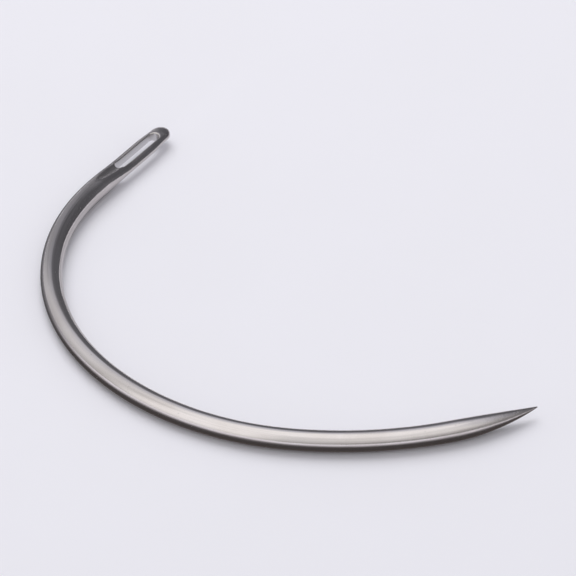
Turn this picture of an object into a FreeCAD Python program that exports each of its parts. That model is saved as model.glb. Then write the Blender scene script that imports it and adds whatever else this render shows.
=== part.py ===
import FreeCAD, Part
import math
import os

import Sketcher

# A curved upholstery needle, bent from one length of round steel wire.
#
# The needle is drawn in its bending plane, XY, with the wire's centreline in
# that plane: the eye end runs along +X from its crown at the origin, the bend
# turns it to the left, and a wider sweep carries it on to the point. The
# finished body is then laid down as it rests on a table: the bending plane is
# horizontal, the mouth of the curve opens to +Y, the eye is at -X, and the
# origin is under the middle of the needle, at the height of the table.

SIZES = [
    ("wire_diameter", 1.3, "round wire of the shank"),
    ("bend_radius", 15.3, "centreline radius of the main bend"),
    ("bend_angle", 119.5, "turn of the main bend, degrees"),
    ("sweep_radius", 22.3, "centreline radius of the wider sweep to the point"),
    ("sweep_angle", 39.0, "turn of that sweep, degrees"),
    ("taper_length", 5.6, "length of the point's taper, along the sweep"),
    ("point_fullness", 1.8, "1 for a straight cone, 2 for sides that leave the wire in a smooth arch"),
    ("tip_diameter", 0.08, "the sharp end of the point"),
    ("slot_length", 4.2, "the eye, from end to end"),
    ("slot_width", 0.62, "the eye, from side to side"),
    ("rim_radius", 0.06, "rounding of the eye's rims"),
    ("crown_length", 1.05, "metal past the eye's outer end"),
    ("crown_dome", 0.75, "length of the rounded end of the crown"),
    ("crown_width", 1.18, "width where the rounded end begins"),
    ("crown_thickness", 0.66, "thickness where the rounded end begins"),
    ("cheek_length", 1.8, "stretch of the eye that keeps its full width"),
    ("cheek_width", 1.34, "width across the two cheeks of the eye"),
    ("cheek_thickness", 0.72, "thickness of the flattened eye"),
    ("runout_length", 2.0, "from the eye's inner end back to round wire"),
    ("straight_shank", 0.2, "straight round wire between the eye and the main bend"),
    ("gutter_width", 0.5, "width of the thread gutter in each cheek"),
    ("gutter_depth", 0.1, "depth of the gutter at its deepest"),
    ("gutter_radius", 14.0, "radius of the die that presses the gutter, along the needle"),
    ("gutter_shift", 0.9, "deepest point of the gutter, from the eye's middle to the shank"),
    ("eye_lean", 73.8, "lean of the eye end from the X axis as the needle lies, degrees"),
]

doc = FreeCAD.newDocument("UpholsteryNeedle")
sheet = doc.addObject("Spreadsheet::Sheet", "Sizes")
for row, (alias, value, meaning) in enumerate(SIZES, start=1):
    sheet.set(f"A{row}", meaning)
    sheet.set(f"B{row}", str(value))
    sheet.setAlias(f"B{row}", alias)
doc.recompute()

needle = doc.addObject("PartDesign::Body", "Needle")
needle.Label = "needle"

# Distances along the straight eye end, measured from the tip of the crown.
EYE_MIDDLE = "(Sizes.crown_length + Sizes.slot_length / 2)"
CHEEKS_BEGIN = f"({EYE_MIDDLE} - Sizes.cheek_length / 2)"
CHEEKS_END = f"({EYE_MIDDLE} + Sizes.cheek_length / 2)"
NECK = "(Sizes.crown_length + Sizes.slot_length + Sizes.runout_length)"

# How a sketch numbers the two ends of a line or an arc, and its centre.
START, END, MIDDLE = range(1, 4)
ORIGIN_POINT = (-1, START)


def origin_plane(role):
    """One of the body's own origin planes."""
    for feature in needle.Origin.OriginFeatures:
        if feature.Role == role:
            return feature
    raise ValueError(f"the body has no {role}")


def origin_sketch(name, role):
    """An empty sketch on one of the body's origin planes."""
    sketch = needle.newObject("Sketcher::SketchObject", name)
    sketch.AttachmentSupport = [(origin_plane(role), "")]
    sketch.MapMode = "FlatFace"
    return sketch


def drive(sketch, alias, formula, *constraint):
    """Add a driving constraint, name it and tie it to the sheet."""
    index = sketch.addConstraint(Sketcher.Constraint(*constraint))
    sketch.renameConstraint(index, alias)
    sketch.setExpression(f"Constraints.{alias}", formula)


def join(sketch, *constraint):
    """Add a constraint that needs no size."""
    sketch.addConstraint(Sketcher.Constraint(*constraint))


def flattened_section(name, distance, width, thickness):
    """An ellipse across the flattened wire, at a distance along the eye end."""
    sketch = origin_sketch(name, "YZ_Plane")
    sketch.setExpression("AttachmentOffset.Base.z", distance)
    ellipse = sketch.addGeometry(Part.Ellipse(
        FreeCAD.Vector(0.7, 0, 0), FreeCAD.Vector(0, 0.5, 0), FreeCAD.Vector(0, 0, 0)), False)
    sketch.exposeInternalGeometry(ellipse)
    wide_axis = ellipse + 1
    thick_axis = ellipse + 2
    join(sketch, "Coincident", ellipse, MIDDLE, *ORIGIN_POINT)
    join(sketch, "Horizontal", wide_axis)
    drive(sketch, "width", width, "Distance", wide_axis, 1.4)
    drive(sketch, "thickness", thickness, "Distance", thick_axis, 1.0)
    return sketch


def fill_circle(sketch, diameter):
    """Draw the wire's round section on a sketch."""
    circle = sketch.addGeometry(
        Part.Circle(FreeCAD.Vector(0, 0, 0), FreeCAD.Vector(0, 0, 1), 0.5), False)
    join(sketch, "Coincident", circle, MIDDLE, *ORIGIN_POINT)
    drive(sketch, "diameter", diameter, "Diameter", circle, 1.0)


def eased(share):
    """A share from 0 to 1 that leaves and arrives gently."""
    return share * share * (3 - 2 * share)


def between(first, last, share):
    """A formula for the size that lies a share of the way from one to the other."""
    return f"{first} + ({last} - {first}) * {share:.4f}"


def centreline():
    """The wire's path: neck, main bend, wider sweep, and the sweep under the taper."""
    sketch = origin_sketch("Centreline", "XY_Plane")
    neck = sheet.crown_length + sheet.slot_length + sheet.runout_length
    straight = neck + sheet.straight_shank
    bend = sheet.bend_radius
    sweep = sheet.sweep_radius
    bend_turn = math.radians(sheet.bend_angle)
    whole_turn = bend_turn + math.radians(sheet.sweep_angle)
    plain_turn = whole_turn - sheet.taper_length / sweep
    up = FreeCAD.Vector(0, 0, 1)
    bend_centre = FreeCAD.Vector(straight, bend, 0)
    outward = FreeCAD.Vector(math.sin(bend_turn), -math.cos(bend_turn), 0)
    sweep_centre = bend_centre - outward * (sweep - bend)

    def arc(centre, radius, turn_from, turn_to):
        circle = Part.Circle(centre, up, radius)
        quarter = math.pi / 2
        return sketch.addGeometry(
            Part.ArcOfCircle(circle, turn_from - quarter, turn_to - quarter), False)

    shaft = sketch.addGeometry(Part.LineSegment(
        FreeCAD.Vector(neck, 0, 0), FreeCAD.Vector(straight, 0, 0)), False)
    main_bend = arc(bend_centre, bend, 0, bend_turn)
    plain_sweep = arc(sweep_centre, sweep, bend_turn, plain_turn)
    taper_sweep = arc(sweep_centre, sweep, plain_turn, whole_turn)
    taper_turn = "Sizes.taper_length / Sizes.sweep_radius * 180 / pi"
    join(sketch, "Horizontal", shaft)
    join(sketch, "PointOnObject", shaft, START, -1)
    join(sketch, "Tangent", shaft, END, main_bend, START)
    join(sketch, "Tangent", main_bend, END, plain_sweep, START)
    join(sketch, "Coincident", plain_sweep, END, taper_sweep, START)
    join(sketch, "Coincident", plain_sweep, MIDDLE, taper_sweep, MIDDLE)
    drive(sketch, "neck", NECK, "DistanceX", *ORIGIN_POINT, shaft, START, neck)
    drive(sketch, "straight_shank", "Sizes.straight_shank",
          "DistanceX", shaft, START, shaft, END, straight - neck)
    drive(sketch, "bend_radius", "Sizes.bend_radius", "Radius", main_bend, bend)
    drive(sketch, "bend_angle", "Sizes.bend_angle", "Angle", main_bend, bend_turn)
    drive(sketch, "sweep_radius", "Sizes.sweep_radius", "Radius", plain_sweep, sweep)
    drive(sketch, "plain_angle", f"Sizes.sweep_angle - {taper_turn}",
          "Angle", plain_sweep, plain_turn - bend_turn)
    drive(sketch, "taper_angle", taper_turn, "Angle", taper_sweep, whole_turn - plain_turn)
    doc.recompute()
    return sketch


def eye_blade():
    """Round wire spread sideways and flattened, from the neck to the crown."""
    sections = []
    for share in (0.0, 0.35, 0.7, 1.0):
        sections.append(flattened_section(
            f"CrownSection{len(sections)}",
            between("Sizes.crown_dome", CHEEKS_BEGIN, share),
            between("Sizes.crown_width", "Sizes.cheek_width", eased(share)),
            between("Sizes.crown_thickness", "Sizes.cheek_thickness", eased(share))))
    for share in (0.0, 0.25, 0.5, 0.75):
        sections.append(flattened_section(
            f"RunoutSection{len(sections)}",
            between(CHEEKS_END, NECK, share),
            between("Sizes.cheek_width", "Sizes.wire_diameter", eased(share)),
            between("Sizes.cheek_thickness", "Sizes.wire_diameter", eased(share))))
    neck = origin_sketch("NeckSection", "YZ_Plane")
    neck.setExpression("AttachmentOffset.Base.z", NECK)
    fill_circle(neck, "Sizes.wire_diameter")
    sections.append(neck)
    blade = needle.newObject("PartDesign::AdditiveLoft", "EyeBlade")
    blade.Profile = sections[0]
    blade.Sections = sections[1:]
    blade.Ruled = False
    doc.recompute()
    return neck


def crown():
    """The domed end of the needle past the eye: half an ellipsoid, facing away from the shank."""
    dome = needle.newObject("PartDesign::AdditiveEllipsoid", "Crown")
    dome.AttachmentSupport = [(origin_plane("XY_Plane"), "")]
    dome.MapMode = "FlatFace"
    dome.AttachmentOffset = FreeCAD.Placement(
        FreeCAD.Vector(0, 0, 0), FreeCAD.Rotation(FreeCAD.Vector(0, 0, 1), 90))
    dome.Angle3 = 180
    dome.setExpression("AttachmentOffset.Base.x", "Sizes.crown_dome")
    dome.setExpression("Radius1", "Sizes.crown_thickness / 2")
    dome.setExpression("Radius2", "Sizes.crown_width / 2")
    dome.setExpression("Radius3", "Sizes.crown_dome")
    doc.recompute()


def shank(path, neck):
    """Round wire from the neck through the bend to where the taper starts."""
    wire = needle.newObject("PartDesign::AdditivePipe", "Shank")
    wire.Profile = neck
    wire.Spine = (path, ["Edge1", "Edge2", "Edge3"])
    doc.recompute()


def point(path):
    """The round point: its sides leave the wire gently and close in an arch to a sharp end."""
    sections = []
    for share in (0.0, 0.2, 0.4, 0.6, 0.8, 1.0):
        sketch = needle.newObject("Sketcher::SketchObject", f"TaperSection{len(sections)}")
        sketch.AttachmentSupport = [(path, "Edge4")]
        sketch.MapMode = "NormalToEdge"
        sketch.MapPathParameter = share
        fill_circle(sketch, "Sizes.tip_diameter + (Sizes.wire_diameter - Sizes.tip_diameter)"
                            f" * (1 - {share:.1f} ^ Sizes.point_fullness)")
        sections.append(sketch)
    taper = needle.newObject("PartDesign::AdditivePipe", "Point")
    taper.Profile = sections[0]
    taper.Spine = (path, ["Edge4"])
    taper.Transformation = "Multisection"
    taper.Sections = sections[1:]
    doc.recompute()


def rounded(name, edges, radius):
    """Round some edges of the needle as it stands so far."""
    base = needle.Tip
    fillet = needle.newObject("PartDesign::Fillet", name)
    fillet.Base = (base, edges)
    fillet.setExpression("Radius", radius)
    doc.recompute()


def edges_where(test):
    """Names of the needle's edges all of whose sampled points pass a test."""
    names = []
    for number, edge in enumerate(needle.Tip.Shape.Edges, start=1):
        if not edge.Degenerated and all(test(spot) for spot in edge.discretize(7)):
            names.append(f"Edge{number}")
    return names


def eye_slot():
    """The long eye, punched through both cheeks, with rounded rims."""
    sketch = origin_sketch("EyeOutline", "XY_Plane")
    half = sheet.slot_width / 2
    near = sheet.crown_length + half
    far = sheet.crown_length + sheet.slot_length - half
    up = FreeCAD.Vector(0, 0, 1)
    quarter = math.pi / 2
    crown_end = sketch.addGeometry(Part.ArcOfCircle(
        Part.Circle(FreeCAD.Vector(near, 0, 0), up, half), quarter, 3 * quarter), False)
    shank_end = sketch.addGeometry(Part.ArcOfCircle(
        Part.Circle(FreeCAD.Vector(far, 0, 0), up, half), -quarter, quarter), False)
    lower_side = sketch.addGeometry(Part.LineSegment(
        FreeCAD.Vector(near, -half, 0), FreeCAD.Vector(far, -half, 0)), False)
    upper_side = sketch.addGeometry(Part.LineSegment(
        FreeCAD.Vector(far, half, 0), FreeCAD.Vector(near, half, 0)), False)
    join(sketch, "Tangent", crown_end, END, lower_side, START)
    join(sketch, "Tangent", lower_side, END, shank_end, START)
    join(sketch, "Tangent", shank_end, END, upper_side, START)
    join(sketch, "Tangent", upper_side, END, crown_end, START)
    join(sketch, "PointOnObject", crown_end, MIDDLE, -1)
    join(sketch, "PointOnObject", shank_end, MIDDLE, -1)
    drive(sketch, "half_width", "Sizes.slot_width / 2", "Radius", crown_end, half)
    drive(sketch, "crown_end", "Sizes.crown_length + Sizes.slot_width / 2",
          "DistanceX", *ORIGIN_POINT, crown_end, MIDDLE, near)
    drive(sketch, "between_ends", "Sizes.slot_length - Sizes.slot_width",
          "DistanceX", crown_end, MIDDLE, shank_end, MIDDLE, far - near)
    slot = needle.newObject("PartDesign::Pocket", "Eye")
    slot.Profile = sketch
    slot.Type = "ThroughAll"
    slot.SideType = "Symmetric"
    doc.recompute()

    close = sheet.slot_width / 500

    def on_rim(spot):
        nearest = min(max(spot.x, near), far)
        from_wall = math.hypot(spot.x - nearest, spot.y) - half
        return abs(from_wall) < close and abs(spot.z) > sheet.cheek_thickness / 4

    rounded("EyeRims", edges_where(on_rim), "Sizes.rim_radius")


def gutters():
    """A shallow thread groove in each cheek, pressed by a wheel-shaped die."""
    ball = ("(Sizes.gutter_width * Sizes.gutter_width / 4 + Sizes.gutter_depth"
            " * Sizes.gutter_depth) / (2 * Sizes.gutter_depth)")
    height = "(Sizes.cheek_thickness / 2 - Sizes.gutter_depth + Sizes.gutter_radius)"
    for name, side in (("UpperGutter", "1"), ("LowerGutter", "-1")):
        die = needle.newObject("PartDesign::SubtractiveTorus", name)
        die.AttachmentSupport = [(origin_plane("XZ_Plane"), "")]
        die.MapMode = "FlatFace"
        die.setExpression("AttachmentOffset.Base.x", f"{EYE_MIDDLE} + Sizes.gutter_shift")
        die.setExpression("AttachmentOffset.Base.y", f"{side} * {height}")
        die.setExpression("Radius1", f"Sizes.gutter_radius - {ball}")
        die.setExpression("Radius2", ball)
        doc.recompute()


def lay_down():
    """Turn the needle as it lies, and stand the origin under its middle."""
    nowhere = FreeCAD.Vector(0, 0, 0)
    upright = FreeCAD.Vector(0, 0, 1)
    turned = needle.Shape.copy()
    turned.rotate(nowhere, upright, -sheet.eye_lean)
    box = turned.optimalBoundingBox()
    needle.Placement = FreeCAD.Placement(
        FreeCAD.Vector(-box.Center.x, -box.Center.y, -box.ZMin),
        FreeCAD.Rotation(upright, -sheet.eye_lean))
    doc.recompute()


def check_cuts():
    """Each cut has to take metal away."""
    for name in ("Eye", "EyeRims", "UpperGutter", "LowerGutter"):
        feature = doc.getObject(name)
        if not feature.Shape.Volume < feature.BaseFeature.Shape.Volume:
            raise ValueError(f"{name} cuts nothing")


def check_document():
    """Every object has to be up to date, and the needle one sound solid."""
    for item in doc.Objects:
        if "Invalid" in item.State or "Error" in item.State:
            raise ValueError(f"{item.Label} failed: {item.State}")
    shape = needle.Shape
    if shape.isNull() or not shape.isValid() or len(shape.Solids) != 1:
        raise ValueError("the needle is not one valid solid")


path = centreline()
neck = eye_blade()
crown()
shank(path, neck)
point(path)
eye_slot()
gutters()
lay_down()
check_cuts()
check_document()

os.makedirs("parts", exist_ok=True)
needle.Shape.exportStep(f"parts/{needle.Label}.step")
wire_length = needle.getObject("NeckSection").AttachmentOffset.Base.z + path.Shape.Length
print(f"needle: {needle.Shape.Volume:.2f} cubic mm, {wire_length:.1f} mm of wire")
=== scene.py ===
import math

import bmesh
import bpy
from mathutils import Matrix, Vector


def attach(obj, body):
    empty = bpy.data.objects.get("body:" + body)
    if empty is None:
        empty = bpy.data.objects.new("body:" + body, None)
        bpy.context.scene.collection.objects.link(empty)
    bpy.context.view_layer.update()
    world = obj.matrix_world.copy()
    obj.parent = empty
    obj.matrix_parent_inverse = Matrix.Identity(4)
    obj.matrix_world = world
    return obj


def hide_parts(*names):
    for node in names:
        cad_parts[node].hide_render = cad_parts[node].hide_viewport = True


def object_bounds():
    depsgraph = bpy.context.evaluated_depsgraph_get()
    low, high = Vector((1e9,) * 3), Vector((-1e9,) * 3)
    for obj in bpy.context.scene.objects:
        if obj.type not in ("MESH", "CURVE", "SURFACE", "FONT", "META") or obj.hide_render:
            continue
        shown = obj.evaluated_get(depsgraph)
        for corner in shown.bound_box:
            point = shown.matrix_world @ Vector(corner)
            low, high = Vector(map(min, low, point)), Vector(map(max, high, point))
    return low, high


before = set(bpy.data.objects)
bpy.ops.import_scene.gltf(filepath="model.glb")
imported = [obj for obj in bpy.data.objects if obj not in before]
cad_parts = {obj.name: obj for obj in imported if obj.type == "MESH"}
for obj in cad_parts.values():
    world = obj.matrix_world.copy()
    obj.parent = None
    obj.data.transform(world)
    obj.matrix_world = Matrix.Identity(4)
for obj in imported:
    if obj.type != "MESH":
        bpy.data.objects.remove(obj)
cad_low, cad_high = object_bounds()

# A curved upholstery needle of bright plated steel wire, lying on a pale table.
#
# The needle is worked out along its own wire first: "along" runs from the tip of
# the crown past the eye to the point, "aside" across the flattened eye, and "up"
# out of the bending plane. The wire is then bent, turned and laid down where the
# frame's needle lies.

MM = 0.001

# The wire and its bends
WIRE_RADIUS = 0.65 * MM
STRAIGHT_SHANK = 0.2 * MM
BEND_RADIUS = 15.3 * MM
BEND_ANGLE = math.radians(119.5)
SWEEP_RADIUS = 22.3 * MM
SWEEP_ANGLE = math.radians(39.0)
BEND_EASE = 2.4 * MM
EYE_LEAN = math.radians(73.8)

# The point
TAPER_LENGTH = 5.6 * MM
POINT_FULLNESS = 1.8
TIP_RADIUS = 0.04 * MM

# The flattened eye
CROWN_LENGTH = 1.05 * MM
CROWN_DOME = 0.75 * MM
CROWN_HALF_WIDTH = 0.59 * MM
CROWN_HALF_THICKNESS = 0.33 * MM
SLOT_LENGTH = 4.2 * MM
SLOT_HALF_WIDTH = 0.31 * MM
CHEEK_LENGTH = 1.8 * MM
CHEEK_HALF_WIDTH = 0.67 * MM
CHEEK_HALF_THICKNESS = 0.36 * MM
RUNOUT_LENGTH = 2.0 * MM
GATE_LENGTH = 1.0 * MM
RIM_RADIUS = 0.08 * MM
GUTTER_WIDTH = 0.5 * MM
GUTTER_DEPTH = 0.1 * MM
GUTTER_RADIUS = 14.0 * MM
GUTTER_SHIFT = 0.9 * MM
GUTTER_LIP = 0.05 * MM

# Places along the wire; the gate is where the round shank's rings take over
EYE_MIDDLE = CROWN_LENGTH + SLOT_LENGTH / 2
CHEEKS_BEGIN = EYE_MIDDLE - CHEEK_LENGTH / 2
CHEEKS_END = EYE_MIDDLE + CHEEK_LENGTH / 2
SLOT_NEAR = CROWN_LENGTH + SLOT_HALF_WIDTH
SLOT_FAR = CROWN_LENGTH + SLOT_LENGTH - SLOT_HALF_WIDTH
GATE = CROWN_LENGTH + SLOT_LENGTH + GATE_LENGTH
NECK = CROWN_LENGTH + SLOT_LENGTH + RUNOUT_LENGTH
BEND_BEGIN = NECK + STRAIGHT_SHANK
SWEEP_BEGIN = BEND_BEGIN + BEND_RADIUS * BEND_ANGLE
WIRE_LENGTH = SWEEP_BEGIN + SWEEP_RADIUS * SWEEP_ANGLE
TAPER_BEGIN = WIRE_LENGTH - TAPER_LENGTH

# How finely the needle is meshed
AROUND = 72
RING_STEP = 0.14 * MM
PATH_STEP = 0.02 * MM
STEPS_PAST_TIP = 3
RIM_STEPS = 5
CHEEK_STEPS = 16
WALL_STEPS = 8
SIDE_LINES = 12
STRAIGHT_LINES = 26
CROWN_LINES = 56
TIP_RINGS = 4
SIDE_SEARCH_REACH = 3.0 * MM
SIDE_SEARCH_HALVINGS = 50

# The photograph's camera, as seen from the needle, with distances in metres and the
# sensor in millimetres
VIEW_AZIMUTH = math.radians(48.05)
VIEW_ELEVATION = math.radians(36.9)
VIEW_ROLL = math.radians(3.15)
VIEW_DISTANCE = 1.119
FRAME_SHARE = 0.86
SENSOR = 36.0
NEAR_CLIP = 0.01
FAR_CLIP = 50.0


def eased(share):
    """A share held between 0 and 1 that leaves and arrives gently."""
    share = min(max(share, 0.0), 1.0)
    return share * share * (3 - 2 * share)


def between(first, last, share):
    """The value a share of the way from first to last."""
    return first + (last - first) * share


def wire_size(along, crown, cheek):
    """Half the wire's size at a place along it, across or through the flattened eye."""
    if along < CROWN_DOME:
        return crown * math.sqrt(max(0.0, 1 - ((CROWN_DOME - along) / CROWN_DOME) ** 2))
    if along < CHEEKS_BEGIN:
        return between(crown, cheek, eased((along - CROWN_DOME) / (CHEEKS_BEGIN - CROWN_DOME)))
    if along < CHEEKS_END:
        return cheek
    if along < NECK:
        return between(cheek, WIRE_RADIUS, eased((along - CHEEKS_END) / (NECK - CHEEKS_END)))
    if along < TAPER_BEGIN:
        return WIRE_RADIUS
    spent = min((along - TAPER_BEGIN) / TAPER_LENGTH, 1.0)
    return between(TIP_RADIUS, WIRE_RADIUS, 1 - spent ** POINT_FULLNESS)


def half_width(along):
    return wire_size(along, CROWN_HALF_WIDTH, CHEEK_HALF_WIDTH)


def half_thickness(along):
    return wire_size(along, CROWN_HALF_THICKNESS, CHEEK_HALF_THICKNESS)


def from_slot(along, aside):
    """Distance from the wall of the eye's slot, outward."""
    nearest = min(max(along, SLOT_NEAR), SLOT_FAR)
    return math.hypot(along - nearest, aside) - SLOT_HALF_WIDTH


def gutter_bite(along, aside, height):
    """How deep the pressed thread gutter goes below a height on the cheek's face."""
    ball = (GUTTER_WIDTH ** 2 / 4 + GUTTER_DEPTH ** 2) / (2 * GUTTER_DEPTH)
    floor = CHEEK_HALF_THICKNESS - GUTTER_DEPTH
    floor += (along - EYE_MIDDLE - GUTTER_SHIFT) ** 2 / (2 * GUTTER_RADIUS)
    floor += aside ** 2 / (2 * ball)
    bite = height - floor
    if bite <= -GUTTER_LIP:
        return 0.0
    if bite >= GUTTER_LIP:
        return bite
    return (bite + GUTTER_LIP) ** 2 / (4 * GUTTER_LIP)


def plain_height(along, aside):
    """Height over the bending plane before the gutter and the slot are cut."""
    wide = half_width(along)
    share = min(abs(aside) / wide, 1.0) if wide > 0 else 1.0
    return half_thickness(along) * math.sqrt(1 - share * share)


def face_height(along, aside):
    """Height of the needle's upper face over the bending plane."""
    height = plain_height(along, aside)
    height -= gutter_bite(along, aside, height)
    into_rim = RIM_RADIUS - max(from_slot(along, aside), 0.0)
    if into_rim > 0:
        height -= RIM_RADIUS - math.sqrt(max(RIM_RADIUS ** 2 - into_rim ** 2, 0.0))
    return height


def bend_wire():
    """Walk along the wire: its place and heading in the bending plane at even steps."""
    steps = []
    x, y, heading = 0.0, 0.0, 0.0
    for count in range(int(WIRE_LENGTH / PATH_STEP) + STEPS_PAST_TIP):
        steps.append((x, y, heading))
        middle = (count + 0.5) * PATH_STEP
        into_bend = eased((middle - BEND_BEGIN) / BEND_EASE + 0.5)
        into_sweep = eased((middle - SWEEP_BEGIN) / BEND_EASE + 0.5)
        curve = between(into_bend / BEND_RADIUS, 1 / SWEEP_RADIUS, into_sweep)
        heading += curve * PATH_STEP / 2
        x += math.cos(heading) * PATH_STEP
        y += math.sin(heading) * PATH_STEP
        heading += curve * PATH_STEP / 2
    return steps


WIRE_PATH = bend_wire()


def bent(along, aside, up):
    """A place on the straight wire, carried to the bent one."""
    count = min(max(int(along / PATH_STEP), 0), len(WIRE_PATH) - 2)
    share = along / PATH_STEP - count
    x0, y0, heading0 = WIRE_PATH[count]
    x1, y1, heading1 = WIRE_PATH[count + 1]
    heading = between(heading0, heading1, share)
    return Vector((between(x0, x1, share) - math.sin(heading) * aside,
                   between(y0, y1, share) + math.cos(heading) * aside,
                   up))


class NeedleMesh:
    """The needle's vertices and faces, with each vertex's place on the straight wire."""

    def __init__(self):
        self.places = []
        self.faces = []

    def add(self, along, aside, up):
        self.places.append((along, aside, up))
        return len(self.places) - 1

    def strip(self, first, second):
        """Quads between two rows of vertices with as many each."""
        for left, right in zip(zip(first, second), zip(first[1:], second[1:])):
            self.faces.append((left[0], right[0], right[1], left[1]))

    def ring(self, first, second):
        """Quads between two closed rows."""
        self.strip(first + first[:1], second + second[:1])


def side_point(centre, direction):
    """Where a line from the slot's end, in the face's plane, meets the needle's side."""
    low, high = 0.0, SIDE_SEARCH_REACH
    for _ in range(SIDE_SEARCH_HALVINGS):
        middle = (low + high) / 2
        along = centre + direction[0] * middle
        inside = along > 0 and abs(direction[1]) * middle < half_width(along)
        low, high = (middle, high) if inside else (low, middle)
    return low


def eye_lines():
    """Lines that fan out from the slot's wall to the needle's side, or to the gate.

    Each is (start along, direction, length, how much its steps crowd to the far end).
    The first ones, from one side of the gate round the crown to the other, end on the
    needle's side; the last ones end at the gate, where the round shank takes over.
    """
    gate_wide = half_width(GATE)
    gate_turn = math.atan2(gate_wide, GATE - SLOT_FAR)
    gate_reach = math.hypot(gate_wide, GATE - SLOT_FAR)
    lines = []

    def fan(centre, turn):
        direction = (math.cos(turn), math.sin(turn))
        lines.append((centre, direction, side_point(centre, direction), 1.0))

    corner = (math.cos(gate_turn), math.sin(gate_turn))
    lines.append((SLOT_FAR, corner, gate_reach, 1.0))
    quarter = math.pi / 2
    for count in range(1, SIDE_LINES):
        fan(SLOT_FAR, between(gate_turn, quarter, count / SIDE_LINES))
    for count in range(STRAIGHT_LINES):
        fan(between(SLOT_FAR, SLOT_NEAR, count / STRAIGHT_LINES), quarter)
    for count in range(CROWN_LINES):
        fan(SLOT_NEAR, quarter + math.pi * count / CROWN_LINES)
    for count in range(STRAIGHT_LINES):
        fan(between(SLOT_NEAR, SLOT_FAR, count / STRAIGHT_LINES), -quarter)
    for count in range(SIDE_LINES):
        fan(SLOT_FAR, between(-quarter, -gate_turn, count / SIDE_LINES))
    lines.append((SLOT_FAR, (corner[0], -corner[1]), gate_reach, 1.0))
    for count in range(AROUND // 2 - 1, 0, -1):
        turn = 2 * math.pi * count / AROUND
        away = (GATE - SLOT_FAR, gate_wide * math.cos(turn))
        reach = math.hypot(*away)
        direction = (away[0] / reach, away[1] / reach)
        lines.append((SLOT_FAR, direction, reach, math.cos(turn) ** 2))
    return lines


def build_eye(mesh):
    """The flattened end with its slot. Returns the ring of vertices at the gate."""
    last_side = 2 * SIDE_LINES + 2 * STRAIGHT_LINES + CROWN_LINES
    upper_gate, lower_gate = {}, {}
    rows = []
    for number, (centre, direction, reach, crowding) in enumerate(eye_lines()):
        distances = []
        for step in range(RIM_STEPS):
            distances.append(RIM_RADIUS * (1 - math.cos(math.pi / 2 * step / RIM_STEPS)))
        spare = reach - SLOT_HALF_WIDTH - RIM_RADIUS
        for step in range(CHEEK_STEPS + 1):
            share = step / CHEEK_STEPS
            share = between(share, math.sin(math.pi / 2 * share), crowding)
            distances.append(RIM_RADIUS + spare * share)
        ends_on_side = number <= last_side
        top, bottom = [], []
        for step, distance in enumerate(distances):
            out = SLOT_HALF_WIDTH + distance
            along = centre + direction[0] * out
            aside = direction[1] * out
            if ends_on_side and step == len(distances) - 1:
                top.append(mesh.add(along, aside, 0.0))
                bottom.append(top[-1])
            else:
                height = face_height(along, aside)
                top.append(mesh.add(along, aside, height))
                bottom.append(mesh.add(along, aside, -height))
        rim_height = mesh.places[top[0]][2]
        wall = []
        for step in range(1, WALL_STEPS):
            up = between(-rim_height, rim_height, step / WALL_STEPS)
            wall.append(mesh.add(centre + direction[0] * SLOT_HALF_WIDTH,
                                 direction[1] * SLOT_HALF_WIDTH, up))
        rows.append((top, bottom, [bottom[0]] + wall + [top[0]]))
        if number == 0:
            upper_gate[0] = top[-1]
        elif number == last_side:
            upper_gate[AROUND // 2] = top[-1]
        elif number > last_side:
            count = AROUND // 2 - (number - last_side)
            upper_gate[count] = top[-1]
            lower_gate[AROUND - count] = bottom[-1]
    for number, (top, bottom, wall) in enumerate(rows):
        next_top, next_bottom, next_wall = rows[(number + 1) % len(rows)]
        mesh.strip(top, next_top)
        mesh.strip(next_bottom, bottom)
        mesh.strip(wall, next_wall)
    return [upper_gate.get(count, lower_gate.get(count)) for count in range(AROUND)]


def build_shank(mesh, gate):
    """Round wire from the gate to the tip, closed by a small rounded end."""
    stations = []
    count = math.ceil((WIRE_LENGTH - GATE) / RING_STEP)
    for step in range(1, count + 1):
        stations.append(between(GATE, WIRE_LENGTH, step / count))
    rings = [gate]
    for along in stations:
        wide, thick = half_width(along), half_thickness(along)
        ring = []
        for count in range(AROUND):
            turn = 2 * math.pi * count / AROUND
            aside = wide * math.cos(turn)
            height = thick * abs(math.sin(turn))
            height -= gutter_bite(along, aside, height)
            ring.append(mesh.add(along, aside, math.copysign(height, math.sin(turn))))
        rings.append(ring)
    for step in range(1, TIP_RINGS):
        lift = math.pi / 2 * step / TIP_RINGS
        along = WIRE_LENGTH + TIP_RADIUS * math.sin(lift)
        radius = TIP_RADIUS * math.cos(lift)
        ring = []
        for count in range(AROUND):
            turn = 2 * math.pi * count / AROUND
            ring.append(mesh.add(along, radius * math.cos(turn), radius * math.sin(turn)))
        rings.append(ring)
    for first, second in zip(rings, rings[1:]):
        mesh.ring(first, second)
    tip = mesh.add(WIRE_LENGTH + TIP_RADIUS, 0.0, 0.0)
    last = rings[-1]
    for left, right in zip(last, last[1:] + last[:1]):
        mesh.faces.append((left, right, tip))


def lay_down(points):
    """Turn the bent needle and lay it where the frame's needle lies."""
    turned = [Matrix.Rotation(-EYE_LEAN, 3, "Z") @ point for point in points]
    low = Vector(min(point[axis] for point in turned) for axis in range(3))
    high = Vector(max(point[axis] for point in turned) for axis in range(3))
    shift = (cad_low + cad_high) / 2 - (low + high) / 2
    shift.z = cad_low.z - low.z
    return [point + shift for point in turned]


def keep_numbers(data, name, numbers):
    """Store a number for each vertex of a mesh, for its material to read."""
    data.attributes.new(name, "FLOAT", "POINT").data.foreach_set("value", numbers)


def keep_vectors(data, name, vectors):
    """Store a vector for each vertex of a mesh."""
    numbers = [number for vector in vectors for number in vector]
    data.attributes.new(name, "FLOAT_VECTOR", "POINT").data.foreach_set("vector", numbers)


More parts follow.
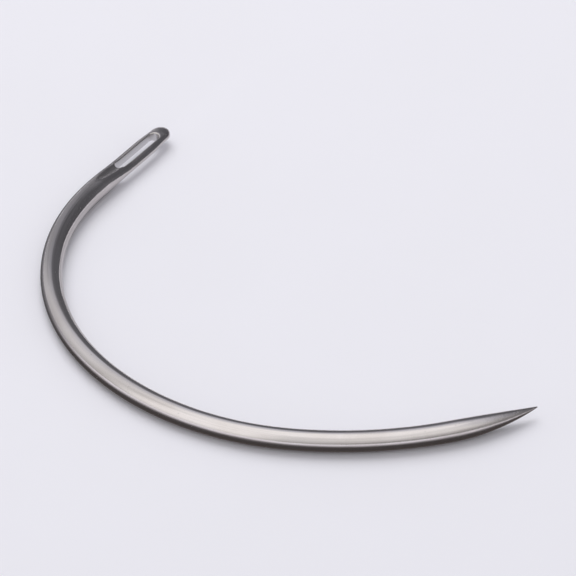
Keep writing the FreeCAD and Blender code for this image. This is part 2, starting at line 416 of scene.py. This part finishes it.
def make_needle():
    mesh = NeedleMesh()
    gate = build_eye(mesh)
    build_shank(mesh, gate)
    points = lay_down([bent(*place) for place in mesh.places])
    data = bpy.data.meshes.new("plated_needle")
    data.from_pydata(points, [], mesh.faces)
    near_slot, in_gutter = [], []
    for along, aside, _ in mesh.places:
        near_slot.append(1 - eased(from_slot(along, aside) / RIM_RADIUS))
        in_gutter.append(eased(gutter_bite(along, aside, plain_height(along, aside)) / GUTTER_LIP))
    keep_vectors(data, "straight_place", mesh.places)
    keep_numbers(data, "slot_wall", near_slot)
    keep_numbers(data, "gutter", in_gutter)
    tidy = bmesh.new()
    tidy.from_mesh(data)
    bmesh.ops.recalc_face_normals(tidy, faces=tidy.faces)
    tidy.to_mesh(data)
    tidy.free()
    data.shade_smooth()
    needle = bpy.data.objects.new("plated_needle", data)
    bpy.context.scene.collection.objects.link(needle)
    return needle


class Nodes:
    """Short calls for making and joining shader nodes in one tree."""

    def __init__(self, tree):
        self.tree = tree
        self.column = 0

    def add(self, kind, settings=None, **inputs):
        node = self.tree.nodes.new(kind)
        self.column += 1
        node.location = (180 * self.column, 0)
        for name, value in (settings or {}).items():
            setattr(node, name, value)
        for name, value in inputs.items():
            self.put(node, name.replace("_", " "), value)
        return node

    def put(self, node, socket, value):
        target = node.inputs[int(socket) if socket.isdigit() else socket]
        if isinstance(value, bpy.types.NodeSocket):
            self.tree.links.new(value, target)
        else:
            target.default_value = value

    def math(self, operation, first, second=0.0, clamp=False):
        node = self.tree.nodes.new("ShaderNodeMath")
        node.operation = operation
        node.use_clamp = clamp
        self.put(node, "0", first)
        self.put(node, "1", second)
        return node.outputs[0]

    def ramp(self, value, low, high, first=0.0, last=1.0):
        """value from low to high, eased into first to last."""
        node = self.tree.nodes.new("ShaderNodeMapRange")
        node.interpolation_type = "SMOOTHSTEP"
        for socket, number in (("Value", value), ("From Min", low), ("From Max", high),
                               ("To Min", first), ("To Max", last)):
            self.put(node, socket, number)
        return node.outputs["Result"]

    def mix_colour(self, share, first, second):
        node = self.tree.nodes.new("ShaderNodeMix")
        node.data_type = "RGBA"
        self.put(node, "0", share)
        for socket, value in ((6, first), (7, second)):
            self.put(node, str(socket), value)
        return node.outputs[2]

    def mix_shader(self, share, first, second):
        node = self.tree.nodes.new("ShaderNodeMixShader")
        for socket, value in enumerate((share, first, second)):
            self.put(node, str(socket), value)
        return node.outputs[0]


def new_group(name, inputs, outputs):
    """A shader node group with float or vector sockets."""
    group = bpy.data.node_groups.new(name, "ShaderNodeTree")
    for label, kind in inputs:
        group.interface.new_socket(label, in_out="INPUT", socket_type=kind)
    for label, kind in outputs:
        group.interface.new_socket(label, in_out="OUTPUT", socket_type=kind)
    nodes = Nodes(group)
    start = group.nodes.new("NodeGroupInput")
    end = group.nodes.new("NodeGroupOutput")
    return nodes, start.outputs, end


FLOAT = "NodeSocketFloat"
VECTOR = "NodeSocketVector"
CELLS_WITHOUT_PIT = 0.88


def drawn_lines_group():
    """Fine lines along the wire, left by drawing and polishing it lengthwise."""
    nodes, given, end = new_group(
        "drawn_lines",
        [("Place", VECTOR), ("Lines", FLOAT), ("Length", FLOAT)],
        [("Mask", FLOAT)])
    split = nodes.add("ShaderNodeSeparateXYZ", Vector=given["Place"])
    short = nodes.math("MULTIPLY", split.outputs["X"], given["Length"])
    place = nodes.add("ShaderNodeCombineXYZ", X=short, Y=split.outputs["Y"], Z=split.outputs["Z"])
    noise = nodes.add("ShaderNodeTexNoise", Vector=place.outputs[0], Scale=given["Lines"],
                      Detail=3.0, Roughness=0.6)
    nodes.put(end, "Mask", noise.outputs[0])
    return nodes.tree


def patches_group():
    """Soft uneven patches, as plating and handling leave them."""
    nodes, given, end = new_group(
        "soft_patches",
        [("Place", VECTOR), ("Scale", FLOAT), ("Low", FLOAT), ("High", FLOAT)],
        [("Mask", FLOAT)])
    noise = nodes.add("ShaderNodeTexNoise", Vector=given["Place"], Scale=given["Scale"], Detail=4.0)
    mask = nodes.ramp(noise.outputs[0], given["Low"], given["High"])
    nodes.put(end, "Mask", mask)
    return nodes.tree


def pits_group():
    """Sparse small pits and specks."""
    nodes, given, end = new_group(
        "small_pits",
        [("Place", VECTOR), ("Scale", FLOAT), ("Size", FLOAT)],
        [("Mask", FLOAT)])
    cells = nodes.add("ShaderNodeTexVoronoi", Vector=given["Place"], Scale=given["Scale"])
    inside = nodes.ramp(cells.outputs["Distance"], given["Size"], 0.0)
    chosen = nodes.add("ShaderNodeSeparateColor", Color=cells.outputs["Color"])
    some = nodes.math("GREATER_THAN", chosen.outputs[0], CELLS_WITHOUT_PIT)
    nodes.put(end, "Mask", nodes.math("MULTIPLY", inside, some))
    return nodes.tree


def use_group(nodes, tree, **inputs):
    node = nodes.tree.nodes.new("ShaderNodeGroup")
    node.node_tree = tree
    for name, value in inputs.items():
        nodes.put(node, name, value)
    return node.outputs["Mask"]


def new_material(name):
    material = bpy.data.materials.new(name)
    material.use_nodes = True
    material.node_tree.nodes.clear()
    nodes = Nodes(material.node_tree)
    shader = nodes.add("ShaderNodeBsdfPrincipled")
    nodes.add("ShaderNodeOutputMaterial", Surface=shader.outputs[0])
    return material, nodes, shader


PLATE_COLOUR = (0.80, 0.75, 0.74, 1.0)
WARM_PLATE_COLOUR = (0.72, 0.66, 0.635, 1.0)
PRESSED_COLOUR = (0.50, 0.475, 0.44, 1.0)
PUNCHED_COLOUR = (0.62, 0.59, 0.58, 1.0)
SPECK_COLOUR = (0.40, 0.37, 0.35, 1.0)

# Marks on the metal: how many to the metre, and how they are stretched along the wire
FINE_LINES = {"Lines": 11000.0, "Length": 0.012}
BROAD_LINES = {"Lines": 3200.0, "Length": 0.03}
SLOW_WAVES = {"Lines": 520.0, "Length": 0.35}
GRINDING_MARKS = {"Lines": 1800.0, "Length": 7.0}
STEEL_PATCHES = {"Scale": 420.0, "Low": 0.38, "High": 0.68}
STEEL_SPECKS = {"Scale": 4200.0, "Size": 0.22}
GROUND_FROM = TAPER_BEGIN + 0.8 * MM
GROUND_FULLY = TAPER_BEGIN + 2.4 * MM

# How far each mark changes the metal's colour
WARM_SHARE = 0.55
WORN_FROM, WORN_FULLY, WORN_SHARE = 0.55, 0.75, 0.35
GUTTER_PRESSED = 0.6
PRESSED_SHARE = 0.6
PUNCHED_FROM = 0.45
SPECK_SHARE = 0.7

# The metal's roughness between and on the broad lines, and what each mark adds
LINES_FROM, LINES_FULLY = 0.3, 0.7
POLISHED_ROUGHNESS, DRAWN_ROUGHNESS = 0.09, 0.17
PATCH_ROUGHNESS = 0.05
PRESSED_ROUGHNESS = 0.16
GROUND_ROUGHNESS = 0.06
SPECK_ROUGHNESS = 0.2

# Heights of the marks, as shares of the bump's distance
BROAD_HEIGHT = 0.5
FINE_HEIGHT = 0.22
WAVE_HEIGHT = 1.6
SPECK_DEPTH = 0.25
GRINDING_HEIGHT = 0.45
BUMP_STRENGTH = 0.6
BUMP_DISTANCE = 0.02 * MM


def plated_steel(patches):
    """Bright nickel over polished steel wire: drawn lines, soft patches, pits and a ground point."""
    drawn, pits = drawn_lines_group(), pits_group()
    material, nodes, shader = new_material("plated_steel")
    place = nodes.add("ShaderNodeAttribute", {"attribute_name": "straight_place"}).outputs["Vector"]
    slot_wall = nodes.add("ShaderNodeAttribute", {"attribute_name": "slot_wall"}).outputs["Fac"]
    gutter = nodes.add("ShaderNodeAttribute", {"attribute_name": "gutter"}).outputs["Fac"]
    along = nodes.add("ShaderNodeSeparateXYZ", Vector=place).outputs["X"]

    fine_lines = use_group(nodes, drawn, Place=place, **FINE_LINES)
    broad_lines = use_group(nodes, drawn, Place=place, **BROAD_LINES)
    waves = use_group(nodes, drawn, Place=place, **SLOW_WAVES)
    grinding = use_group(nodes, drawn, Place=place, **GRINDING_MARKS)
    cloud = use_group(nodes, patches, Place=place, **STEEL_PATCHES)
    specks = use_group(nodes, pits, Place=place, **STEEL_SPECKS)
    ground = nodes.ramp(along, GROUND_FROM, GROUND_FULLY)
    pressed = nodes.math("MAXIMUM", slot_wall, nodes.math("MULTIPLY", gutter, GUTTER_PRESSED))

    warm = nodes.math("MULTIPLY", cloud, WARM_SHARE)
    colour = nodes.mix_colour(warm, PLATE_COLOUR, WARM_PLATE_COLOUR)
    worn = nodes.ramp(fine_lines, WORN_FROM, WORN_FULLY, 0.0, WORN_SHARE)
    colour = nodes.mix_colour(worn, colour, PRESSED_COLOUR)
    dulled = nodes.math("MULTIPLY", pressed, PRESSED_SHARE)
    colour = nodes.mix_colour(dulled, colour, PRESSED_COLOUR)
    colour = nodes.mix_colour(nodes.ramp(slot_wall, PUNCHED_FROM, 1.0), colour, PUNCHED_COLOUR)
    colour = nodes.mix_colour(nodes.math("MULTIPLY", specks, SPECK_SHARE), colour, SPECK_COLOUR)
    nodes.put(shader, "Base Color", colour)
    shader.inputs["Metallic"].default_value = 1.0

    roughness = nodes.ramp(broad_lines, LINES_FROM, LINES_FULLY, POLISHED_ROUGHNESS, DRAWN_ROUGHNESS)
    roughness = nodes.math("ADD", roughness, nodes.math("MULTIPLY", cloud, PATCH_ROUGHNESS))
    roughness = nodes.math("ADD", roughness, nodes.math("MULTIPLY", pressed, PRESSED_ROUGHNESS))
    roughness = nodes.math("ADD", roughness, nodes.math("MULTIPLY", ground, GROUND_ROUGHNESS))
    rougher = nodes.math("MULTIPLY", specks, SPECK_ROUGHNESS)
    roughness = nodes.math("ADD", roughness, rougher, clamp=True)
    nodes.put(shader, "Roughness", roughness)

    height = nodes.math("MULTIPLY", broad_lines, BROAD_HEIGHT)
    height = nodes.math("ADD", height, nodes.math("MULTIPLY", fine_lines, FINE_HEIGHT))
    height = nodes.math("ADD", height, nodes.math("MULTIPLY", waves, WAVE_HEIGHT))
    height = nodes.math("SUBTRACT", height, nodes.math("MULTIPLY", specks, SPECK_DEPTH))
    marks = nodes.math("MULTIPLY", nodes.math("MULTIPLY", grinding, ground), GRINDING_HEIGHT)
    height = nodes.math("ADD", height, marks)
    bump = nodes.add("ShaderNodeBump", Height=height, Strength=BUMP_STRENGTH,
                     Distance=BUMP_DISTANCE)
    nodes.put(shader, "Normal", bump.outputs[0])
    return material


FLOOR_COLOUR = (0.805, 0.797, 0.86, 1.0)
FLOOR_PATCH_COLOUR = (0.80, 0.792, 0.852, 1.0)
FLOOR_PATCHES = {"Scale": 90.0, "Low": 0.3, "High": 0.7}
FLOOR_ROUGHNESS = 0.75
FLOOR_SPECULAR = 0.2
FLOOR_HALF_SIZE = 6.0


def make_floor(patches):
    """A plain pale table top."""
    material, nodes, shader = new_material("pale_table")
    grain = nodes.add("ShaderNodeTexCoord").outputs["Object"]
    cloud = use_group(nodes, patches, Place=grain, **FLOOR_PATCHES)
    colour = nodes.mix_colour(cloud, FLOOR_COLOUR, FLOOR_PATCH_COLOUR)
    nodes.put(shader, "Base Color", colour)
    shader.inputs["Roughness"].default_value = FLOOR_ROUGHNESS
    shader.inputs["Specular IOR Level"].default_value = FLOOR_SPECULAR
    size = FLOOR_HALF_SIZE
    data = bpy.data.meshes.new("table")
    data.from_pydata([(-size, -size, 0), (size, -size, 0), (size, size, 0), (-size, size, 0)],
                     [], [(0, 1, 2, 3)])
    data.materials.append(material)
    table = bpy.data.objects.new("table", data)
    bpy.context.scene.collection.objects.link(table)


def make_camera(needle):
    """The photograph's angle, with the needle filling the frame."""
    elevation_cos, elevation_sin = math.cos(VIEW_ELEVATION), math.sin(VIEW_ELEVATION)
    ahead = Vector((-math.sin(VIEW_AZIMUTH) * elevation_cos,
                    math.cos(VIEW_AZIMUTH) * elevation_cos, -elevation_sin))
    level = Vector((math.cos(VIEW_AZIMUTH), math.sin(VIEW_AZIMUTH), 0.0))
    above = level.cross(ahead)
    right = level * math.cos(VIEW_ROLL) + above * math.sin(VIEW_ROLL)
    upward = right.cross(ahead)
    spots = [vertex.co for vertex in needle.data.vertices]
    across = [spot.dot(right) for spot in spots]
    tall = [spot.dot(upward) for spot in spots]
    deep = [spot.dot(ahead) for spot in spots]
    centre = (right * (min(across) + max(across)) / 2 + upward * (min(tall) + max(tall)) / 2
              + ahead * (min(deep) + max(deep)) / 2)
    span = max(max(across) - min(across), max(tall) - min(tall)) / FRAME_SHARE
    data = bpy.data.cameras.new("camera")
    data.sensor_width = SENSOR
    data.lens = SENSOR * VIEW_DISTANCE / span
    data.clip_start = NEAR_CLIP
    data.clip_end = FAR_CLIP
    camera = bpy.data.objects.new("camera", data)
    bpy.context.scene.collection.objects.link(camera)
    turn = Matrix((right, upward, -ahead)).transposed()
    camera.matrix_world = Matrix.Translation(centre - ahead * VIEW_DISTANCE) @ turn.to_4x4()
    bpy.context.scene.camera = camera


LAMP_PLACE = (-0.36, 0.12, 0.52)
LAMP_SIZE = 0.6
LAMP_POWER = 2.45


def area_lamp(name, place, size, power):
    """A soft lamp that looks at the needle and isn't mirrored in it."""
    data = bpy.data.lights.new(name, "AREA")
    data.shape = "DISK"
    data.size = size
    data.energy = power
    lamp = bpy.data.objects.new(name, data)
    bpy.context.scene.collection.objects.link(lamp)
    lamp.location = place
    lamp.visible_glossy = False
    lamp.rotation_euler = (-Vector(place)).to_track_quat("-Z", "Y").to_euler()


WARM_SHADE = (1.0, 0.88, 0.87)
COOL_SHADE = (0.88, 0.90, 1.0)
PLAIN_WHITE = (1.0, 1.0, 1.0)


def mixed_tint(first, last, share, bright):
    """A colour between two tints, at a brightness."""
    return [between(low, high, share) * bright for low, high in zip(first, last)]


def make_mirror_sheet(name, rows, closed):
    """A glowing sheet seen only in reflections, painting what the metal mirrors, from rows of (spot,
    cover, colour).
    """
    columns = len(rows[0])
    faces = []
    for row in range(len(rows) - 1):
        for column in range(columns if closed else columns - 1):
            corner = row * columns + column
            beside = row * columns + (column + 1) % columns
            faces.append((corner, beside, beside + columns, corner + columns))
    places = [place for row in rows for place in row]
    data = bpy.data.meshes.new(name)
    data.from_pydata([spot for spot, _, _ in places], [], faces)
    keep_numbers(data, "cover", [cover for _, cover, _ in places])
    keep_vectors(data, "shade", [colour for _, _, colour in places])
    material = bpy.data.materials.new(name)
    material.use_nodes = True
    material.node_tree.nodes.clear()
    nodes = Nodes(material.node_tree)
    tone = nodes.add("ShaderNodeAttribute", {"attribute_name": "shade"}).outputs["Color"]
    share = nodes.add("ShaderNodeAttribute", {"attribute_name": "cover"}).outputs["Fac"]
    # the sheet glows with the colour of its painted reflection
    glow = nodes.add("ShaderNodeEmission", Color=tone, Strength=1.0)
    clear = nodes.add("ShaderNodeBsdfTransparent")
    mixed = nodes.mix_shader(share, clear.outputs[0], glow.outputs[0])
    nodes.add("ShaderNodeOutputMaterial", Surface=mixed)
    data.materials.append(material)
    sheet = bpy.data.objects.new(name, data)
    bpy.context.scene.collection.objects.link(sheet)
    sheet.visible_camera = False
    sheet.visible_diffuse = False
    sheet.visible_transmission = False
    sheet.visible_shadow = False


# The glowing screen, seen only in the metal, that paints its reflections: its radius in metres,
# and in degrees up its top, and where and how softly it opens
SCREEN_RADIUS = 0.3
SCREEN_COLUMNS = 144
SCREEN_ROWS = 24
SCREEN_TOP = 80.0
OPEN_HEIGHT = 64.0
OPEN_SOFTNESS = 26.0

# Heading from +X, then the height and softness of the screen's edge, all in degrees,
# the brightness of its painted reflections below and above that edge, and their share of the cool
# tint
SCREEN_STOPS = (
    (60.0, 48.0, 16.0, 0.14, 0.55, 1.0),
    (78.0, 50.0, 16.0, 0.10, 0.55, 1.0),
    (92.0, 51.0, 16.0, 0.10, 0.55, 1.0),
    (108.0, 52.0, 16.0, 0.12, 0.60, 1.0),
    (124.0, 48.0, 14.0, 0.12, 0.60, 1.0),
    (138.0, 44.0, 14.0, 0.15, 0.62, 1.0),
    (151.0, 40.0, 16.0, 0.29, 0.62, 0.9),
    (165.0, 34.0, 20.0, 0.34, 0.62, 0.7),
    (185.0, 25.0, 30.0, 0.55, 0.68, 0.4),
    (210.0, 20.0, 30.0, 0.55, 0.72, 0.2),
    (230.0, 20.0, 30.0, 0.50, 0.65, 0.0),
    (255.0, 10.0, 30.0, 0.75, 1.00, 0.0),
    (295.0, 10.0, 30.0, 0.75, 1.00, 0.0),
    (315.0, 20.0, 40.0, 0.45, 0.72, 0.0),
    (345.0, 22.0, 40.0, 0.30, 0.80, 0.0),
    (375.0, 26.0, 40.0, 0.25, 0.80, 0.0),
    (400.0, 40.0, 30.0, 0.22, 0.65, 0.5),
    (420.0, 48.0, 16.0, 0.14, 0.55, 1.0),
)


def screen_at(heading):
    """The screen's edge, softness, two brightnesses and cool share at a heading."""
    for near, far in zip(SCREEN_STOPS, SCREEN_STOPS[1:]):
        if heading <= far[0]:
            share = eased((heading - near[0]) / (far[0] - near[0]))
            return [between(first, last, share) for first, last in zip(near[1:], far[1:])]
    return SCREEN_STOPS[-1][1:]


def make_screen():
    """A glowing screen all round the needle, seen only in the metal: it paints the metal's
    reflections, dark bands on the eye's side and brighter ones elsewhere, and is open at the top.
    """
    rows = []
    first = SCREEN_STOPS[0][0]
    for row in range(SCREEN_ROWS + 1):
        rise = SCREEN_TOP * row / SCREEN_ROWS
        cover = 1 - eased((rise - OPEN_HEIGHT) / OPEN_SOFTNESS + 0.5)
        spots = []
        for column in range(SCREEN_COLUMNS):
            heading = first + 360 * column / SCREEN_COLUMNS
            turn = math.radians(heading)
            edge, softness, below, above, cool = screen_at(heading)
            spot = (SCREEN_RADIUS * math.cos(turn), SCREEN_RADIUS * math.sin(turn),
                    SCREEN_RADIUS * math.tan(math.radians(rise)))
            # how bright the painted reflection is at this spot of the screen
            bright = between(below, above, eased((rise - edge) / softness + 0.5))
            spots.append((spot, cover, mixed_tint(PLAIN_WHITE, COOL_SHADE, cool, bright)))
        rows.append(spots)
    make_mirror_sheet("painted_reflection_screen", rows, True)


# Distance out from the wire's middle, in mm, how far the sheet covers the table there
# beside the eye, the bend and the stretch to the point, and its brightness, past the eye
# and beside it. The sheet is seen only in the metal: it paints shade into the reflections
# of the table, and painted light under the eye.
TABLE_SHEET_STOPS = (
    (-12.0, 0.30, 0.60, 0.00, 0.12, 0.12),
    (-5.0, 0.35, 0.70, 0.00, 0.12, 0.12),
    (-2.5, 0.35, 0.50, 0.00, 0.12, 0.12),
    (-1.2, 0.35, 0.30, 0.00, 0.12, 0.12),
    (-0.7, 0.80, 0.30, 0.20, 0.10, 0.50),
    (-0.45, 0.90, 0.70, 0.90, 0.10, 0.80),
    (0.35, 0.90, 0.85, 0.95, 0.09, 0.80),
    (0.7, 0.90, 0.90, 0.97, 0.05, 0.10),
    (1.5, 0.90, 0.90, 0.95, 0.04, 0.06),
    (2.4, 0.90, 0.85, 0.65, 0.05, 0.06),
    (3.2, 0.90, 0.85, 0.30, 0.07, 0.08),
    (5.0, 0.90, 0.80, 0.12, 0.09, 0.09),
    (9.0, 0.85, 0.70, 0.00, 0.10, 0.10),
    (40.0, 0.70, 0.50, 0.00, 0.10, 0.10),
    (90.0, 0.00, 0.00, 0.00, 0.10, 0.10),
)
TABLE_SHEET_COLUMNS = 90
TABLE_SHEET_HEIGHT = 0.01 * MM
TABLE_SHEET_MARGIN = 16.0 * MM
TABLE_SHEET_PAST_EYE = 5.0 * MM
TABLE_SHEET_EYE_FADE = 1.5 * MM
TABLE_SHEET_PAST_BEND = 16.0 * MM
TABLE_SHEET_BEND_FADE = 8.0 * MM


def make_mat(needle):
    """A sheet on the table beside the needle, seen only in the metal: painted shade in its
    reflections, but painted light under the eye.
    """
    turn = Matrix.Rotation(-EYE_LEAN, 3, "Z")
    first = needle.data.attributes["straight_place"].data[0].vector
    shift = needle.data.vertices[0].co - turn @ bent(*first)
    rows = []
    for reach, by_eye, by_bend, by_point, bright, bright_by_eye in TABLE_SHEET_STOPS:
        spots = []
        for column in range(TABLE_SHEET_COLUMNS + 1):
            along = between(-TABLE_SHEET_MARGIN, WIRE_LENGTH + TABLE_SHEET_MARGIN, column / TABLE_SHEET_COLUMNS)
            spot = turn @ bent(along, -reach * MM, 0.0) + shift
            inside = min(along + TABLE_SHEET_MARGIN, WIRE_LENGTH + TABLE_SHEET_MARGIN - along) / TABLE_SHEET_MARGIN
            past_eye = eased((along - TABLE_SHEET_PAST_EYE) / TABLE_SHEET_EYE_FADE)
            past_bend = eased((along - TABLE_SHEET_PAST_BEND) / TABLE_SHEET_BEND_FADE)
            # how strongly and how brightly the sheet paints the table's reflections: painted shade,
            # and painted light under the eye
            cover = between(between(by_eye, by_bend, past_eye), by_point, past_bend)
            tone = between(bright_by_eye, bright, past_eye)
            tint = mixed_tint(COOL_SHADE, WARM_SHADE, past_bend, tone)
            spots.append(((spot.x, spot.y, TABLE_SHEET_HEIGHT), cover * eased(inside), tint))
        rows.append(spots)
    make_mirror_sheet("painted_table_reflection", rows, False)


WHITE = (1.0, 1.0, 1.0, 1.0)
LIGHT_STRENGTH = 0.62
BACKDROP_STRENGTH = 1.0


def make_world():
    """Soft even light, and a white backdrop for the camera and reflections."""
    world = bpy.data.worlds.new("studio")
    bpy.context.scene.world = world
    world.use_nodes = True
    tree = world.node_tree
    tree.nodes.clear()
    nodes = Nodes(tree)
    light = nodes.add("ShaderNodeBackground", Color=WHITE, Strength=LIGHT_STRENGTH)
    backdrop = nodes.add("ShaderNodeBackground", Color=WHITE, Strength=BACKDROP_STRENGTH)
    path = nodes.add("ShaderNodeLightPath")
    seen = nodes.math("MAXIMUM", path.outputs["Is Camera Ray"], path.outputs["Is Glossy Ray"])
    seen = nodes.math("MAXIMUM", seen, path.outputs["Is Transmission Ray"])
    mixed = nodes.mix_shader(seen, light.outputs[0], backdrop.outputs[0])
    nodes.add("ShaderNodeOutputWorld", Surface=mixed)


soft_patches = patches_group()
needle = make_needle()
needle.data.materials.append(plated_steel(soft_patches))
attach(needle, "root")
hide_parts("needle")

make_floor(soft_patches)
make_world()
area_lamp("key_light", LAMP_PLACE, LAMP_SIZE, LAMP_POWER)
# Painted reflections for the metal: a glowing screen and a table sheet that only the metal sees
make_screen()
make_mat(needle)
make_camera(needle)

scene = bpy.context.scene
scene.view_settings.view_transform = "Standard"
